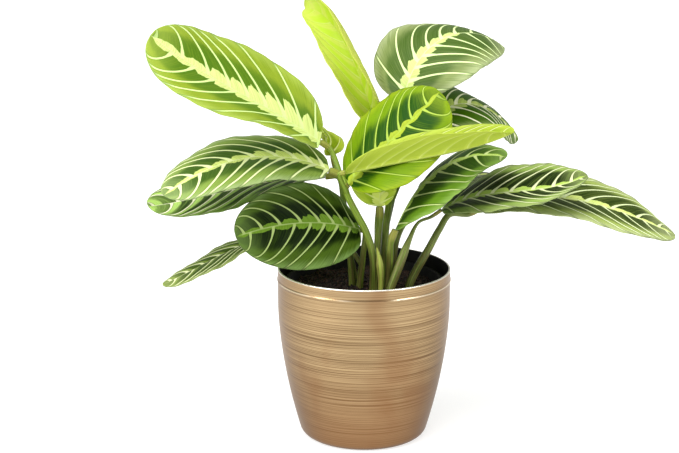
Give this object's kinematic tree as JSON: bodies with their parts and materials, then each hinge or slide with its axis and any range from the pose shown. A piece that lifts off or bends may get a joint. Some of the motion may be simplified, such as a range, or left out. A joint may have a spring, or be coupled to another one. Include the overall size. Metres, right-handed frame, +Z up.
{
  "type": "potted prayer plant maranta",
  "caption": "Prayer plant with herringbone veined oval leaves on slender stalks, growing from soil in a nursery pot that stands in a round brushed metal cover pot.",
  "frame": {"origin": "The middle of the cover pot's flat underside, on the surface that it stands on.", "axes": "+Z up. The side that the plant shows faces -Y, and the long leaf on the right points to +X."},
  "size_m": [0.3592, 0.1937, 0.3035],
  "materials": {
    "pot_gold": "brushed gold lacquer with fine level streaks, black inside",
    "nursery_plastic": "matte black thin plastic",
    "peat": "dark damp peat soil with crumbs and bark",
    "stalk_green": "smooth green stalks, darker below, orange at the joints",
    "sheath_green": "pale green sheathed stalks with fine lengthwise lines",
    "leaf_dark": "satin dark green blade with lime feathered band and cream side veins",
    "leaf_fresh": "satin fresh green blade with broad cream band and cream side veins",
    "leaf_young": "thin lime young blade with pale side veins"
  },
  "bodies": {
    "root": {"cover_pot": "pot_gold", "nursery_pot": "nursery_plastic", "soil": "peat", "shoot_left": "stalk_green", "shoot_low_left": "stalk_green", "shoot_front_left": "stalk_green", "shoot_centre": "stalk_green", "shoot_tall": "stalk_green", "shoot_right": "stalk_green", "shoot_sheathed": "sheath_green", "shoot_far_right": "sheath_green", "shoot_back_left": "stalk_green", "shoot_back_right": "stalk_green", "young_shoot": "leaf_young", "leaf_top_left": "leaf_fresh", "leaf_mid_left": "leaf_dark", "leaf_low_left": "leaf_dark", "leaf_front_left": "leaf_dark", "leaf_rolled_left": "leaf_dark", "leaf_young_upright": "leaf_young", "leaf_top_right": "leaf_dark", "leaf_front_oval": "leaf_fresh", "leaf_young_front": "leaf_young", "leaf_back_right": "leaf_dark", "leaf_folded_right": "leaf_dark", "leaf_upper_right": "leaf_dark", "leaf_long_right": "leaf_dark", "leaf_young_left": "leaf_young", "leaf_centre": "leaf_young", "leaf_back_high": "leaf_fresh", "leaf_back_left": "leaf_dark", "leaf_back_low": "leaf_dark", "leaf_far_right": "leaf_dark"}
  },
  "joints": []
}
